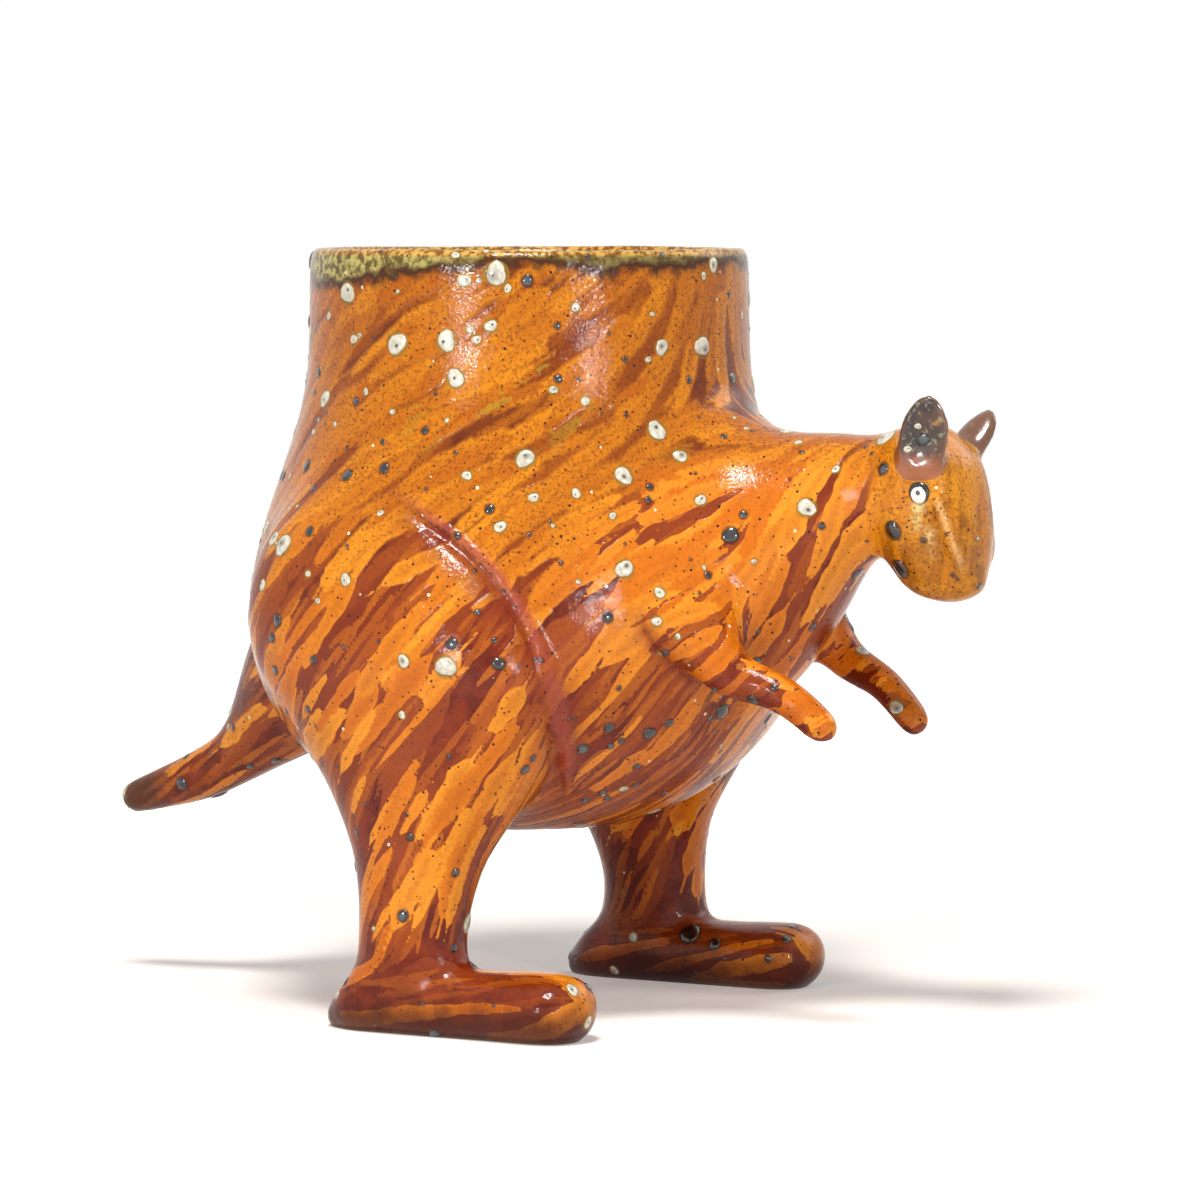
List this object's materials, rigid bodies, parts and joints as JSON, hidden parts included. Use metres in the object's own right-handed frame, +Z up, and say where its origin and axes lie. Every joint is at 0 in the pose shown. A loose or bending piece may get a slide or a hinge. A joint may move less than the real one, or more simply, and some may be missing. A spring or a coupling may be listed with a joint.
{
  "type": "yunomi",
  "caption": "Handleless stoneware tea cup shaped as a standing wallaby: a round cup on its haunches, with head, arms, feet and tail.",
  "frame": {"origin": "On the surface that the cup stands on, midway between nose and tail tip and midway between the feet.", "axes": "+X to where the animal looks, +Y to its left, +Z up along the thrown cup's axis."},
  "size_m": [0.1596, 0.095, 0.1218],
  "materials": {
    "ochre_glaze": "gloss glaze over iron slip, brushed in orange on red brown, with white and black specks",
    "dark_glaze": "dark brown gloss glaze, in the ears",
    "white_glaze": "warm white gloss glaze with a dark ring, on the eyes"
  },
  "bodies": {
    "root": {"cup_body": "ochre_glaze", "neck": "ochre_glaze", "head": "ochre_glaze", "tail": "ochre_glaze", "right_leg": "ochre_glaze", "left_leg": "ochre_glaze", "right_foot": "ochre_glaze", "left_foot": "ochre_glaze", "right_arm": "ochre_glaze", "left_arm": "ochre_glaze", "right_ear": "dark_glaze", "left_ear": "dark_glaze", "right_eye": "white_glaze", "left_eye": "white_glaze"}
  },
  "joints": []
}
